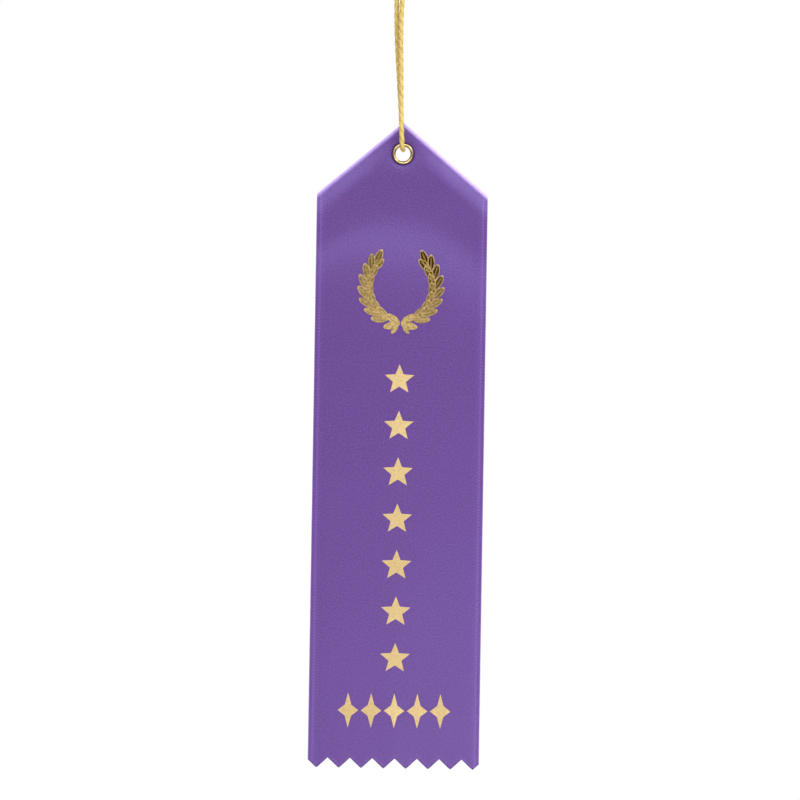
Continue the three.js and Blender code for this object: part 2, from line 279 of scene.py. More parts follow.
def satin_weave(look, across, along):
    """Staggered long floats of the satin weave, 1 on a float and 0 between floats."""
    float_width = 0.16
    float_length = 1.1
    sockets = {"Vector": look.node("CombineXYZ", along, across).outputs[0], "Scale": 1,
               "Mortar Size": 0.018, "Mortar Smooth": 1, "Brick Width": float_length,
               "Row Height": float_width}
    bricks = look.node("TexBrick", sockets=sockets, offset=0.4, offset_frequency=1, squash_frequency=1)
    return look.math("SUBTRACT", 1.0, bricks.outputs["Fac"])


def satin_material():
    """Violet polyester satin with its weave, selvedges and cut marks, painted highlights along its
    folds and side rims, and painted shade round the eyelet.
    """
    look = Finish("satin", Roughness=0.44, Anisotropic=0.45, Sheen_Weight=0.2, Sheen_Roughness=0.35,
                  Sheen_Tint=srgb(205, 200, 255), Specular_IOR_Level=1.0,
                  Specular_Tint=srgb(187, 181, 254))
    flat, across, along = look.flat()
    weave = satin_weave(look, across, along)

    # Uneven yarn: fine mottling, weak crosswise slubs, and wide soft clouds.
    mottle = look.noise(flat, 1.9, 2.0, 0.6)
    slub = look.noise(look.stretched(flat, (0.5, 2.4, 0)), 1.0, 2.0, 0.6)
    look.paint(srgb(40, 8, 56))
    look.cloud(mottle, 0.34, 0.66, 1.0, srgb(72, 25, 96))
    look.cloud(slub, 0.35, 0.75, 0.3, srgb(49, 14, 73))
    look.cloud(look.noise(flat, 0.045), 0.35, 0.7, 0.3, srgb(62, 18, 82))
    look.cloud(weave, 1.0, 0.0, 0.2, srgb(39, 8, 60))

    # Selvedge: a paler band with a row of pale stitches and a row of dark ones inside it. Along the
    # very rim there is a painted highlight, where the side edge catches the light.
    stitch_pitch = 0.95
    selvedge = srgb(122, 86, 164)
    edge = look.math("SUBTRACT", HALF_WIDTH, look.math("ABSOLUTE", across))
    stitches = look.band(look.math("FRACT", look.math("DIVIDE", along, stitch_pitch)), 0.5, 0.42)
    pale = look.times(look.band(edge, 1.25, 0.4), stitches)
    dark = look.times(look.band(edge, 2.0, 0.45), stitches)
    look.tint(look.band(edge, 1.6, 1.4), 0.07, selvedge)
    look.tint(pale, 0.3, selvedge)
    look.tint(dark, 0.5, srgb(20, 8, 46))
    # Painted highlight: a pale line along the rim of the strip's sides.
    look.tint(look.band(edge, 0.0, 0.35), 0.35, srgb(150, 112, 190))

    # Painted highlight along the folded edges of the peak: a paler band where the rounded fold would
    # catch the light.
    crease = look.band(look.attribute("crease_distance"), 0.0, 1.7)
    look.tint(crease, 0.75, srgb(182, 158, 216))

    # The cloth is pressed in round the eyelet. Painted shade makes it darker in a ring just outside the
    # eyelet, where the flange shades it, and the ring is rougher too.
    rise = look.math("SUBTRACT", along, EYELET_Z)
    squares = look.math("ADD", look.times(across, across), look.times(rise, rise))
    painted_eyelet_shade = look.band(look.math("SQRT", squares), EYELET_RADIUS, 1.0)
    look.tint(painted_eyelet_shade, 0.75, srgb(22, 6, 40))

    # Heat-sealed cut edge: a dark rim, with a weaker dark line inside it.
    cut = look.attribute("cut_distance")
    look.tint(look.band(cut, 0.75, 0.45), 0.25, srgb(83, 40, 101))
    look.tint(look.band(cut, 0.1, 0.4), 0.5, srgb(40, 13, 61))

    smooth = look.ramp(mottle, 0.34, 0.44, 0.3, 0.7)
    # Roughness rises in the ring of painted shade round the eyelet.
    look.wire("Roughness", look.mix(painted_eyelet_shade, smooth, 0.95, "FLOAT"))
    look.bump(mottle, 0.00005, 0.4)
    look.bump(dark, 0.00005, -0.4)
    look.bump(weave, 0.00003, 0.4)
    look.wire("Tangent", look.node("Tangent", direction_type="UV_MAP", uv_map="flat").outputs[0])
    return look.material


def card_material():
    """Uncoated cream card stock with faint ruled lines on its back."""
    look = Finish("card", Roughness=0.85, Specular_IOR_Level=0.3)
    flat, _, along = look.flat()
    fibre = look.noise(flat, 1.4, 5.0, 0.65)
    look.paint(srgb(202, 195, 177))
    look.cloud(fibre, 0.3, 0.7, 1.0, srgb(212, 206, 191))
    look.cloud(look.noise(flat, 0.07), 0.4, 0.7, 0.3, srgb(195, 185, 162))
    line_pitch = 11.0
    repeat = look.math("FRACT", look.math("DIVIDE", along, line_pitch))
    rule = look.times(look.band(repeat, 0.5, 0.016), look.attribute("ruled"))
    look.tint(rule, 0.7, srgb(120, 118, 122))
    look.bump(fibre, 0.00004, 0.5)
    return look.material


def brass_material():
    """Bright plated brass with faint handling marks."""
    look = Finish("eyelet_brass", Metallic=1.0, Roughness=0.32)
    place = look.node("TexCoord").outputs["Object"]
    blotch = look.noise(place, 900.0, 3.0)
    scratch = look.noise(look.stretched(place, (9000, 900, 900), (0, 0.6, 0)), 1.0)
    look.paint(srgb(161, 140, 96))
    look.cloud(blotch, 0.35, 0.7, 1.0, srgb(154, 130, 82))
    look.wire("Roughness", look.ramp(blotch, 0.29, 0.35, 0.3, 0.7))
    look.bump(scratch, 0.000004, 0.3)
    return look.material


def cord_material():
    """Twisted gold rayon: fine fibres that turn with the plies, with painted shade in the grooves
    between them.
    """
    look = Finish("cord", Roughness=0.42, Sheen_Weight=0.15, Sheen_Roughness=0.4,
                  Sheen_Tint=srgb(255, 240, 200), Specular_IOR_Level=0.6)
    side, other = look.attribute("twist_side"), look.attribute("twist_other")
    twisted = look.node("CombineXYZ", side, other, look.flat()[2]).outputs[0]
    fibre = look.noise(look.stretched(twisted, (6.5, 6.5, 0.7)), 1.0, 3.0, 0.6)
    tone = look.noise(look.stretched(twisted, (0.9, 0.9, 0.25)), 1.0)
    look.paint(srgb(148, 120, 44))
    look.cloud(fibre, 0.3, 0.7, 1.0, srgb(179, 163, 89))
    look.cloud(tone, 0.35, 0.7, 0.4, srgb(146, 117, 36))
    # Painted shade: the grooves between the plies are darker in the colour.
    look.cloud(look.attribute("painted_groove_shade"), 0.0, 1.0, 0.8, srgb(130, 92, 14))
    look.wire("Roughness", look.ramp(fibre, 0.46, 0.66, 0.3, 0.7))
    look.bump(fibre, 0.00012, 0.9)
    return look.material


def foil_material(name, bright, deep, edge, smooth, rough, stipple):
    """Hot-stamped gold foil that shows the cloth's grain; rims are smoother and have one tone. Each
    point's tone runs its colour from deep to bright: a random tone on the print, a painted reflection
    on the wreath.
    """
    look = Finish(name, Metallic=1.0)
    flat, across, along = look.flat()
    grain = look.noise(flat, 3.2, 3.0, 0.7)
    rim = look.attribute("rim")
    # Colour from deep to bright by each point's tone: random on the print, painted reflection on the
    # wreath.
    look.paint(look.mix(look.attribute("tone"), deep, bright))
    look.cloud(grain, 0.35, 0.7, stipple, deep)
    look.tint(rim, 1.0, edge)
    look.cloud(look.noise(flat, 1.1, 2.0, 0.6), 0.4, 0.7, 0.5, deep)
    polished = look.ramp(grain, smooth, rough, 0.3, 0.7)
    look.wire("Roughness", look.mix(rim, polished, smooth, "FLOAT"))
    look.bump(grain, 0.00012, 0.7)
    look.bump(satin_weave(look, across, along), 0.00003, 0.5)
    return look.material


# ---- Mesh helpers ----


def grid_faces(rows, columns, first=0, closed=False):
    """Quads over a grid of points that are numbered row by row from first."""
    last = columns if closed else columns - 1
    faces = []
    for i in range(rows - 1):
        for j in range(last):
            a = first + i * columns + j
            b = first + i * columns + (j + 1) % columns
            faces.append((a, b, b + columns, a + columns))
    return faces


def make_mesh(name, points, faces, material, flat=None, attributes=None):
    """Mesh object from points in millimetres, with a flat UV map and point attributes."""
    mesh = bpy.data.meshes.new(name)
    mesh.from_pydata((np.asarray(points, float) * MM).tolist(), [], [tuple(map(int, f)) for f in faces])
    for key, values in (attributes or {}).items():
        layer = mesh.attributes.new(key, "FLOAT", "POINT")
        layer.data.foreach_set("value", np.asarray(values, np.float32))
    if flat is not None:
        layer = mesh.uv_layers.new(name="flat")
        corners = np.zeros(len(mesh.loops), np.int32)
        mesh.loops.foreach_get("vertex_index", corners)
        layer.data.foreach_set("uv", np.asarray(flat, np.float32)[corners].ravel())
    mesh.materials.append(material)
    mesh.polygons.foreach_set("use_smooth", [True] * len(mesh.polygons))
    made = bpy.data.objects.new(name, mesh)
    bpy.context.scene.collection.objects.link(made)
    return made


def clean(obj, weld=0.0):
    """Merges points closer than weld, in millimetres, and turns the faces outward."""
    bm = bmesh.new()
    bm.from_mesh(obj.data)
    if weld:
        bmesh.ops.remove_doubles(bm, verts=bm.verts, dist=weld * MM)
    bmesh.ops.recalc_face_normals(bm, faces=bm.faces)
    bm.to_mesh(obj.data)
    bm.free()


def thicken(obj, thickness):
    """Gives an open surface that thickness in millimetres, half to each side."""
    solid = obj.modifiers.new("thickness", "SOLIDIFY")
    solid.thickness = thickness * MM
    solid.offset = 0
    bpy.context.view_layer.update()
    done = bpy.data.meshes.new_from_object(obj.evaluated_get(bpy.context.evaluated_depsgraph_get()))
    obj.modifiers.clear()
    obj.data = done


def smoothstep(value, low, high):
    share = np.clip((value - low) / (high - low), 0, 1)
    return share * share * (3 - 2 * share)


def bell(value, centre, width):
    return np.exp(-(((value - centre) / width) ** 2))


def lengths_along(line):
    """Length of a line up to each of its points."""
    return np.concatenate([[0], np.cumsum(np.linalg.norm(np.diff(line, axis=0), axis=1))])


def tube_faces(rings, sides, first):
    """Faces of a tube closed at both ends, over rings of points numbered from first."""
    last = first + (rings - 1) * sides
    caps = [tuple(range(first, first + sides))[::-1], tuple(range(last, last + sides))]
    return grid_faces(rings, sides, first, closed=True) + caps


def fan_tube_faces(rings, sides, first):
    """The same with fans for caps, round two more points: the middles of the first and last ring."""
    faces = grid_faces(rings, sides, first, closed=True)
    middle = first + rings * sides
    last = middle - sides
    for here in range(sides):
        following = (here + 1) % sides
        faces.append((middle, first + following, first + here))
        faces.append((middle + 1, last + here, last + following))
    return faces


# ---- Cord ----

# Centre line from the knot down the front, through the eyelet and up the back, in metres.
CORD_ROUTE = [
    (0.00085, 0, 0.0012), (0.002, 0, -0.0006), (0.00235, -0.00005, -0.0022),
    (0.00225, -0.0001, -0.005), (0.0018, -0.0002, -0.01), (0.00115, -0.00035, -0.016),
    (0.0004, -0.0005, -0.0225), (-0.00035, -0.0006, -0.029), (-0.00095, -0.00066, -0.0355),
    (-0.0012, -0.00068, -0.042), (-0.00115, -0.0007, -0.049), (-0.001, -0.00078, -0.056),
    (-0.00087, -0.00095, -0.062), (-0.0008, -0.0013, -0.0672), (-0.00068, -0.0019, -0.0716),
    (-0.00055, -0.00235, -0.0746), (-0.00042, -0.0025, -0.077), (-0.0003, -0.0024, -0.0786),
    (-0.0002, -0.0018, -0.0796), (-0.0001, -0.0008, -0.07997), (0, 0, -0.08),
    (0, 0.0008, -0.07997), (-0.0001, 0.0018, -0.0796), (-0.0002, 0.0024, -0.0786),
    (-0.0003, 0.0025, -0.077), (-0.00045, 0.00235, -0.0746), (-0.00065, 0.0019, -0.0716),
    (-0.00092, 0.0013, -0.0672), (-0.0013, 0.00095, -0.062), (-0.00172, 0.00076, -0.056),
    (-0.0022, 0.00068, -0.049), (-0.0025, 0.00065, -0.042), (-0.0026, 0.00062, -0.0355),
    (-0.00255, 0.00057, -0.029), (-0.00245, 0.0005, -0.0225), (-0.00235, 0.00035, -0.016),
    (-0.0023, 0.0002, -0.01), (-0.00235, 0.0001, -0.005), (-0.00235, 0.00005, -0.0022),
    (-0.002, 0, -0.0006), (-0.00085, 0, 0.0012),
]
# Centre lines of the two cord ends above the knot, in metres.
TAIL_ROUTES = {
    "left": [(-0.00085, 0, 0.0088), (-0.0015, 0.0002, 0.012), (-0.0026, 0.0005, 0.0154),
             (-0.0039, 0.0007, 0.0186)],
    "right": [(0.00085, 0, 0.0088), (0.0013, -0.0003, 0.0118), (0.0024, -0.0005, 0.0148),
              (0.0031, -0.0004, 0.0178)],
}
# Height at which the loop passes into the knot, in millimetres.
LOOP_TOP = 1.4

ROUTE_STEPS = 12
CORD_STEP = 0.35
# Points of the route at each end that the knot takes the place of.
KNOT_POINTS = 3
KNOT_CENTRE = (0, 0, 5.2)
KNOT_SPREAD = 2.3
STRAND_GAP = 0.85
# Strands press into each other until their middles are this far apart.
CONTACT = 1.36


def smooth_route(points):
    """Centripetal Catmull-Rom curve through the points."""
    p = np.asarray(points, float)
    p = np.vstack([2 * p[0] - p[1], p, 2 * p[-1] - p[-2]])
    gap = np.linalg.norm(np.diff(p, axis=0), axis=1)[:, None] ** 0.5
    before, here, after = gap[:-2], gap[1:-1], gap[2:]
    low, high = p[1:-2], p[2:-1]
    start = (low - p[:-3]) / before - (high - p[:-3]) / (before + here)
    start = (start + (high - low) / here) * here
    end = (high - low) / here - (p[3:] - low) / (here + after)
    end = (end + (p[3:] - high) / after) * here
    low, high, start, end = (part[:, None] for part in (low, high, start, end))
    t = (np.arange(ROUTE_STEPS) / ROUTE_STEPS)[:, None]
    curve = ((2 * t**3 - 3 * t**2 + 1) * low + (t**3 - 2 * t**2 + t) * start
             + (3 * t**2 - 2 * t**3) * high + (t**3 - t**2) * end)
    return np.vstack([curve.reshape(-1, 3), p[-2]])


def evenly(line, step):
    """The same line with points about step apart."""
    along = lengths_along(line)
    at = np.linspace(0, along[-1], max(8, round(along[-1] / step)) + 1)
    return np.stack([np.interp(at, along, line[:, k]) for k in range(3)], axis=1)


def relax(line, pull):
    """Draws each inner point of a line towards the middle of its neighbours."""
    line[1:-1] += pull * ((line[:-2] + line[2:]) / 2 - line[1:-1])


def carried_frame(line, start=(0, -1, 0)):
    """Directions along a line, and one square to them that is carried along without turning."""
    ahead = np.gradient(line, axis=0)
    ahead /= np.linalg.norm(ahead, axis=1)[:, None]
    side = np.zeros_like(line)
    reference = np.array(start, float)
    for i, direction in enumerate(ahead):
        reference = reference - direction * (reference @ direction)
        reference /= np.linalg.norm(reference)
        side[i] = reference
    return ahead, side


def loose_overhand(spread, centre):
    """Middle line of an open overhand knot, as a polynomial curve."""
    t = np.linspace(-2.12, 2.12, 300)
    curve = np.stack([t**3 - 3 * t, t**4 - 4 * t**2 + 2, 0.34 * (t**5 - 10 * t)], axis=1)
    return curve * spread + np.array(centre, float)


def pushed_apart(points, first_count, step):
    """Moves points of two strands apart where the strands would lie in each other."""
    apart = points[:, None] - points[None]
    distance = np.sqrt((apart**2).sum(-1)) + 1e-9
    index = np.arange(len(points))
    same = (index[:, None] < first_count) == (index[None] < first_count)
    near = np.abs(index[:, None] - index[None]) * step < 1.57 * CONTACT
    overlap = np.clip(np.where(near & same, 0, CONTACT) - distance, 0, None)
    push = (apart / distance[..., None] * overlap[..., None]).sum(1)
    count = np.maximum((overlap > 0).sum(1), 1)
    return points + 0.5 * push / np.sqrt(count)[:, None]


def tightened(strands, rounds, step, pull):
    """Shortens two strands between fixed ends while they stay a cord's thickness apart."""
    for turn in range(rounds):
        for strand in strands:
            relax(strand, pull)
        if turn % 5 == 0:
            strands = [evenly(strand, step) for strand in strands]
        count = len(strands[0])
        for _ in range(4):
            moved = pushed_apart(np.vstack(strands), count, step)
            for strand, pushed in zip(strands, (moved[:count], moved[count:])):
                strand[1:-1] = pushed[1:-1]
    return strands


def knot_strands():
    """Both strands through the pulled-tight overhand knot, from the loop up to the free ends."""
    middle = loose_overhand(KNOT_SPREAD, KNOT_CENTRE)
    _, side = carried_frame(middle, (1, 0, 0))
    route = np.array(CORD_ROUTE) / MM
    feet = route[KNOT_POINTS], route[-1 - KNOT_POINTS]
    heads = [np.array(TAIL_ROUTES[key][1]) / MM for key in ("left", "right")]
    strands = []
    for foot, head, sign in zip(feet, heads, (1, -1)):
        strands.append(np.vstack([foot, middle + sign * STRAND_GAP * side, head]))
    coarse, fine = 0.8, 0.5
    strands = tightened([evenly(strand, coarse) for strand in strands], 330, coarse, 0.4)
    rounds = 260
    return tightened([evenly(strand, fine) for strand in strands], rounds, fine, 0.3)


def cord_line():
    """The whole cord: left free end, knot, loop through the eyelet, knot, right free end."""
    from_knot, to_knot = knot_strands()
    hidden = KNOT_POINTS * ROUTE_STEPS
    loop = smooth_route(CORD_ROUTE)[hidden:-hidden] / MM
    left, right = (smooth_route(TAIL_ROUTES[key])[ROUTE_STEPS:] / MM for key in ("left", "right"))
    whole = np.vstack([left[::-1], from_knot[::-1][1:], loop[1:-1], to_knot[:-1], right])
    whole = evenly(whole, CORD_STEP)
    for _ in range(6):
        relax(whole, 0.5)
    return evenly(whole, CORD_STEP)


def ply_reach(turn):
    """Reach of a two-ply section at a turn angle, for a cord of radius 1."""
    centre = 0.17
    ply = 0.83
    return centre * np.abs(np.cos(turn)) + np.sqrt(ply**2 - (centre * np.sin(turn)) ** 2)


def twisted_tube(name, line, stretches, material):
    """Closed two-ply tubes along stretches of one line, so that the twist runs on between them."""
    sides = 28
    ahead, side = carried_frame(line)
    other = np.cross(ahead, side)
    turn = np.arange(sides) * 2 * np.pi / sides
    spokes = np.cos(turn)[None, :, None] * side[:, None] + np.sin(turn)[None, :, None] * other[:, None]
    along = np.broadcast_to(lengths_along(line)[:, None], (len(line), sides))
    twist = turn + 2 * np.pi * along / PLY_TURN
    reach = ply_reach(twist)
    rings = line[:, None] + (CORD_DIAMETER / 2 * reach)[..., None] * spokes
    across = np.broadcast_to(turn * CORD_DIAMETER / 2, reach.shape)
    # Painted shade where the surface dips into the groove between the plies.
    shade = 1 - smoothstep(reach, 0.81, 0.92)
    # Place, flat place, painted groove shade and twist of every ring's points, and of the middle of a
    # cap there.
    grid = np.dstack([rings, across, along, shade, np.cos(twist), np.sin(twist)])
    none, full = np.zeros(len(line)), np.ones(len(line))
    caps = np.column_stack([line, none, along[:, 0], full, full, none])
    table, faces = [], []
    for first, last in stretches:
        faces += fan_tube_faces(last + 1 - first, sides, sum(len(part) for part in table))
        table += [grid[first:last + 1].reshape(-1, grid.shape[2]), caps[[first, last]]]
    table = np.vstack(table)
    made = make_mesh(name, table[:, :3], faces, material, table[:, 3:5],
                     dict(zip(("painted_groove_shade", "twist_side", "twist_other"), table[:, 5:].T)))
    clean(made)
    # Only the caps are triangles; flat, they leave the shading of the tube's ends alone.
    for face in made.data.polygons:
        face.use_smooth = len(face.vertices) > 3
    return made


def frayed_end(name, line, material, seed):
    """Loose fibres that stand out of a cut cord end; the line runs towards the end."""
    tip = line[-1]
    ahead = line[-1] - line[-6]
    ahead /= np.linalg.norm(ahead)
    side = np.cross(ahead, (0, 1, 0))
    side /= np.linalg.norm(side)
    other = np.cross(ahead, side)
    steps, sides, fibres = 7, 5, 34
    thickness = 0.1
    spread = 0.5
    # Lowest and highest length, lean, and curl in both directions.
    low, high = (1.1, 0.15, -0.25, -0.25), (2.1, 0.6, 0.25, 0.25)
    drawn = np.random.default_rng(seed).uniform(low, high, (fibres, 4))
    share = np.linspace(0, 1, steps)[:, None]
    turn = np.arange(sides) * 2 * np.pi / sides
    spokes = np.outer(np.cos(turn), side) + np.outer(np.sin(turn), other)
    rings = thickness * (1 - 0.6 * share)[..., None] * spokes
    points, faces, flat = [], [], []
    for k, (length, lean, curl_side, curl_other) in enumerate(drawn):
        angle = 2.4 * k
        outward = math.cos(angle) * side + math.sin(angle) * other
        reach = math.sqrt((k + 0.5) / fibres)
        root = tip + spread * reach * outward - 0.5 * ahead
        middle = root + ahead * length * share + outward * lean * reach * length * share**2
        middle = middle + (side * curl_side + other * curl_other) * share**2
        points.append((middle[:, None] + rings).reshape(-1, 3))
        across = np.tile(thickness * np.arange(sides) + k, steps)
        flat.append(np.stack([across, np.repeat(length * share, sides)], axis=1))
        faces += tube_faces(steps, sides, k * steps * sides)
    turned = np.repeat(np.arange(fibres), steps * sides)
    made = make_mesh(name, np.vstack(points), faces, material, np.vstack(flat),
                     {"painted_groove_shade": 0 * turned, "twist_side": np.cos(turned),
                      "twist_other": np.sin(turned)})
    clean(made)
    return made


def make_cord():
    """The loop below the knot, the knot with both cut ends, and the loose fibres of those ends."""
    material = cord_material()
    line = cord_line()
    lowest = int(np.argmin(line[:, 2]))
    first = int(np.max(np.nonzero(line[:lowest, 2] > LOOP_TOP)[0]))
    last = lowest + int(np.min(np.nonzero(line[lowest:, 2] > LOOP_TOP)[0]))
    loop = twisted_tube("hanging_cord", line, [(first, last)], material)
    knot = twisted_tube("cord_knot_and_ends", line, [(0, first), (last, len(line) - 1)], material)
    frays = [frayed_end("cord_fray_left", line[::-1], material, 3),
             frayed_end("cord_fray_right", line, material, 8)]
    for piece in (loop, knot, *frays):
        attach(piece, "hanger")
    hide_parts("cord_front_strand", "cord_bight", "cord_back_strand")
    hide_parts("cord_knot", "cord_tail_left", "cord_tail_right")


# ---- Satin ----


def inside_peak(x, z):
    """Distance from the nearer peak edge to a point of the front, square to the edge."""
    return (APEX_Z - z) * math.cos(PEAK_SLOPE) - np.abs(x) * math.sin(PEAK_SLOPE)


def relief(x, z):
    """How far the front panel stands back from its flat place; less than 0 is towards the viewer."""
    depth = APEX_Z - z
    inside = inside_peak(x, z)
    slope_ends = np.clip(ROLL_END - inside, 0, None) ** 2 - np.clip(ROLL_FLAT - inside, 0, None) ** 2
    roll = 0.5 * ROLL_SLOPE * slope_ends / (ROLL_END - ROLL_FLAT) * smoothstep(np.abs(x), *ROLL_FADE)
    rim = EDGE_ROLL * np.clip(1 - inside / EDGE_WIDTH, 0, 1) ** 2
    dimple = DIMPLE_DEPTH * bell(np.hypot(x, z - EYELET_Z), EYELET_RADIUS - 0.4, DIMPLE_WIDTH)
    hollow = HOLLOW_DEPTH * smoothstep(depth, *HOLLOW_SPAN)
    spread = ARCH_SPREAD - ARCH_NARROWING * np.clip(-x, 0, None)
    past = np.clip(depth - ARCH_DEPTH - ARCH_CURVE * x**2 - ARCH_LEAN * x, 0, None) / spread
    rise = 2 - (past**2 + 2 * past + 2) * np.exp(-past)
    arch = -ARCH_SLOPE * spread * rise / (4 * math.exp(-2))
    curl = CURL_DEPTH * smoothstep(np.abs(x), CURL_FROM, HALF_WIDTH) * smoothstep(depth, *CURL_SPAN)
    bow = -0.5 * BOW_SLOPE / BOW_LENGTH * np.clip(depth - BOW_FROM, 0, None) ** 2
    ripple = RIPPLE_DEPTH * np.sin(depth / RIPPLE_LENGTH + RIPPLE_SKEW * x)
    ripple = ripple * smoothstep(depth, *RIPPLE_SPAN)
    return roll + rim + dimple + hollow + arch + curl + bow + ripple


def on_satin(x, z, height):
    """Points at that height in front of the printed face; a height below 0 is inside the cloth."""
    return np.stack([x, FRONT_Y + relief(x, z) - height, z], axis=-1)


def pink_rise(x):
    """Height of the pinked edge above its tips."""
    phase = (x + HALF_WIDTH - PINK_FIRST_TIP) / PINK_PITCH
    away = np.abs(phase - np.round(phase))
    rounded = np.sqrt(away**2 + 0.02**2) - 0.02
    return 2 * PINK_DEPTH * np.minimum(rounded, 0.49)


def columns_across():
    """x of the grid's columns: twelve to a tooth, one in the middle and two close to each side."""
    first = PINK_FIRST_TIP - HALF_WIDTH
    inner = first + PINK_PITCH / 12 * np.arange(-4, 90)
    inner = inner[(np.abs(inner) < HALF_WIDTH - 0.2) & (np.abs(inner) > 0.2)]
    border = np.array([HALF_WIDTH - 0.1, HALF_WIDTH])
    return np.sort(np.concatenate([inner, [0], border, -border]))


def front_panel(columns):
    """Points of the front panel, row by row from the fold lines down to the pinked edge."""
    fold_drop = (STACK / 2) / math.cos(PEAK_SLOPE)
    length = APEX_Z - fold_drop - TIPS_Z
    # Rows are close under the folds and at the teeth, whose shape fades out above the hem.
    peak_end, hem_start, teeth_start = 15, 182, 176
    fine = np.arange(0, peak_end, 0.42)
    plain = np.arange(peak_end, hem_start, 1.0)
    hem = np.linspace(hem_start, length, 26)
    share, x = np.meshgrid(np.concatenate([fine, plain, hem]) / length, columns, indexing="ij")
    top = APEX_Z - fold_drop - np.abs(x) * math.tan(PEAK_SLOPE)
    z = top + (TIPS_Z - top) * share
    z = z + pink_rise(x) * smoothstep(share, teeth_start / length, 1)
    return np.dstack([x, -LAYER_MID + relief(x, z), z])


def flap_rows(columns, side):
    """Bend and flap of one folded corner, row by row away from the fold line.

    Gives the points, their places on the strip laid flat, and their distance from the fold line.
    """
    share = np.sort(np.abs(columns[columns * side >= 0])) / HALF_WIDTH
    cos, sin, tan = math.cos(PEAK_SLOPE), math.sin(PEAK_SLOPE), math.tan(PEAK_SLOPE)
    radius = LAYER_MID
    axis_z = APEX_Z - (STACK / 2) / cos
    quarter = math.pi * radius / 2
    mitre = -radius * tan
    # Where the strip's top edge and its selvedge meet, in the corner of the flap.
    last = (HALF_WIDTH / cos - mitre + quarter / tan) / (1 / tan + tan)
    flap = 2 * quarter + (last - 2 * quarter) * np.linspace(0, 1, 34)[1:]
    away = np.concatenate([np.linspace(0, 2 * quarter, 19), flap])[:, None]
    bent = away <= 2 * quarter
    angle = np.minimum(away / radius, math.pi)
    out = np.where(bent, radius * np.sin(angle), 2 * quarter - away)
    inner = np.where(away <= quarter, -out * tan, mitre + (away - quarter) / tan)
    outer = (HALF_WIDTH - away * sin) / cos
    down = inner + (outer - inner) * share
    x = down * cos + out * sin
    z = axis_z - down * sin + out * cos
    half_gap = radius - relief(share * HALF_WIDTH, axis_z - share * HALF_WIDTH * tan) / 2
    turned_in = 2 * EDGE_ROLL / EDGE_WIDTH * out * np.maximum(np.cos(angle), 0) ** 2
    bend_y = radius - half_gap * (1 + np.cos(angle)) + turned_in
    drop = smoothstep(away - 2 * quarter, 0, 6)
    dimple = DIMPLE_DEPTH * bell(np.hypot(x, z - EYELET_Z), EYELET_RADIUS, 2.5)
    flap_y = radius - (radius - FLAP_REST) * drop + dimple + 0.12 * bell(down, outer, 2.0) * drop
    points = np.dstack([side * x, np.where(bent, bend_y, flap_y), z])
    flat = np.dstack([side * (down * cos + away * sin), axis_z - down * sin + away * cos])
    return points, flat, np.broadcast_to(away, x.shape)


def punch_eyelet_hole(obj):
    """Removes the cloth inside the eyelet and draws the cut edge into a true circle."""
    bm = bmesh.new()
    bm.from_mesh(obj.data)
    centre = Vector((0, 0, EYELET_Z * MM))

    def away(point):
        return math.hypot(point.x, point.z - centre.z)

    gone = [f for f in bm.faces if away(f.calc_center_median()) < HOLE * MM]
    bmesh.ops.delete(bm, geom=gone, context="FACES")
    for vert in bm.verts:
        if vert.is_boundary and away(vert.co) < HOLE * MM:
            scale = HOLE * MM / max(away(vert.co), 1e-9)
            vert.co.x *= scale
            vert.co.z = centre.z + (vert.co.z - centre.z) * scale
    bm.to_mesh(obj.data)
    bm.free()


def make_satin(material):
    """One cloth from tooth tips to flap corners; its cut marks and the painted highlight along its
    folds are drawn by the distances it carries.
    """
    far = 5
    columns = columns_across()
    panel = front_panel(columns)
    outermost = math.pi * LAYER_MID / 2
    cut = (panel[..., 2] - TIPS_Z - pink_rise(columns)) * TOOTH_COSINE
    crease = inside_peak(panel[..., 0], panel[..., 2]) - STACK / 2 + outermost
    # Place, flat place and both distances of every point, for the panel and for both flaps.
    grids = [np.dstack([panel, panel[..., [0, 2]], cut, crease])]
    faces = grid_faces(*cut.shape)
    for side in (1, -1):
        flap, flat, away = flap_rows(columns, side)
        first = sum(grid[..., 0].size for grid in grids)
        grids.append(np.dstack([flap, flat, np.full(away.shape, far), np.abs(away - outermost)]))
        faces += [f if side < 0 else f[::-1] for f in grid_faces(*away.shape, first)]
    table = np.vstack([grid.reshape(-1, grid.shape[2]) for grid in grids])
    cut, crease = np.clip(table[:, 5:], 0, far).T
    satin = make_mesh("satin_strip", table[:, :3], faces, material, table[:, 3:5],
                      {"cut_distance": cut, "crease_distance": crease})
    clean(satin, weld=0.02)
    punch_eyelet_hole(satin)
    thicken(satin, SATIN)
    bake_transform(satin)
    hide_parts("ribbon_head", "ribbon_tail")


# ---- Card ----


